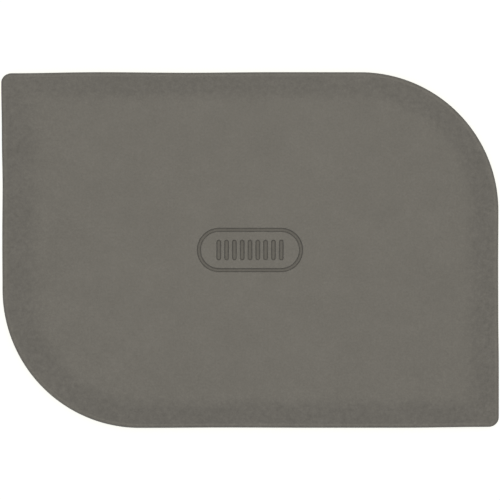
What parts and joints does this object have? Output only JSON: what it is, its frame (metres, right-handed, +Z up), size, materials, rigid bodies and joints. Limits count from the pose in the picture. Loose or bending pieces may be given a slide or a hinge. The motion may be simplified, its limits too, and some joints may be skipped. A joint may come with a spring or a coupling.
{
  "type": "bowl scraper",
  "caption": "Flat hand scraper for bowls and dough: a stiff thick panel with a thin bendy silicone lip all round, broad corners at one diagonal and tight tips at the other.",
  "frame": {"origin": "on the underside, which the scraper lies on, at the middle of the outline", "axes": "+X along the length towards the broad corner on the far side, +Y across the width towards the far edge, +Z up out of the top face that holds the grip mark"},
  "size_m": [0.16, 0.1144, 0.0042],
  "materials": {
    "silicone": "matte warm grey silicone with a fine spark-eroded grain",
    "core": "matte charcoal glass-filled nylon"
  },
  "bodies": {
    "root": {"silicone_cover": "silicone", "core_plate": "core"}
  },
  "joints": []
}
